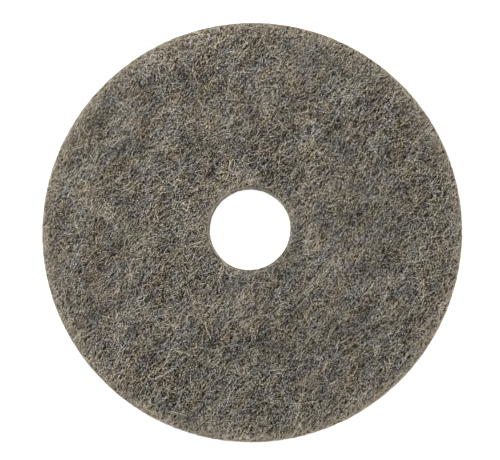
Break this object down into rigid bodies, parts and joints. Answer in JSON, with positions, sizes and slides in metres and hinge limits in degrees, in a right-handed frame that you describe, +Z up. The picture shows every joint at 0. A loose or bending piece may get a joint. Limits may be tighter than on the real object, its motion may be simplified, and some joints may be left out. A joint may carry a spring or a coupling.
{
  "type": "floor burnishing pad",
  "caption": "Round floor burnishing pad: a thick flat disc of matted natural-fibre web with a round hole through its centre.",
  "frame": {"origin": "centre of the hole, on the lower face, which the pad lies on", "axes": "+Z up through the hole, normal to both faces; the pad is round, so X and Y are alike"},
  "size_m": [0.432, 0.432, 0.0254],
  "materials": {
    "fibre": "matted coarse natural fibre, grey-brown with cream, tan and charcoal strands, dry and fully matt"
  },
  "bodies": {
    "root": {"pad": "fibre"}
  },
  "joints": []
}
